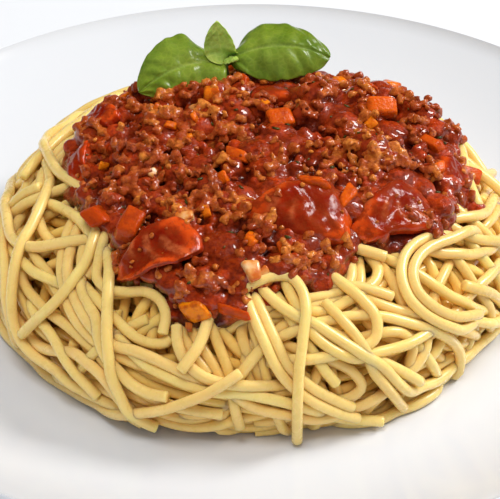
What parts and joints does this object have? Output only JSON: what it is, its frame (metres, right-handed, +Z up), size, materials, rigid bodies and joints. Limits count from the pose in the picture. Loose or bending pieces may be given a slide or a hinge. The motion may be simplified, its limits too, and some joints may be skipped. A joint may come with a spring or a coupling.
{
  "type": "spaghetti bolognese",
  "caption": "Round nest of spaghetti in a shallow white plate, under a thick cap of minced meat and tomato sauce with a basil sprig.",
  "frame": {"origin": "on the table under the middle of the plate", "axes": "+Z up, -Y to the front of the dish, where the sauce comes furthest down the nest; the basil is behind the middle"},
  "size_m": [0.248, 0.248, 0.0693],
  "materials": {
    "porcelain": "smooth white glaze",
    "pasta": null,
    "ragu": null,
    "tomato": null,
    "basil": null
  },
  "bodies": {
    "root": {"plate": "porcelain", "spaghetti_nest": "pasta", "bolognese_sauce": "ragu", "tomato_front_left": "tomato", "tomato_front_right": "tomato", "tomato_middle": "tomato", "tomato_right": "tomato", "tomato_back": "tomato", "tomato_back_right": "tomato", "tomato_back_left": "tomato", "tomato_left": "tomato", "basil_sprig": "basil"}
  },
  "joints": []
}
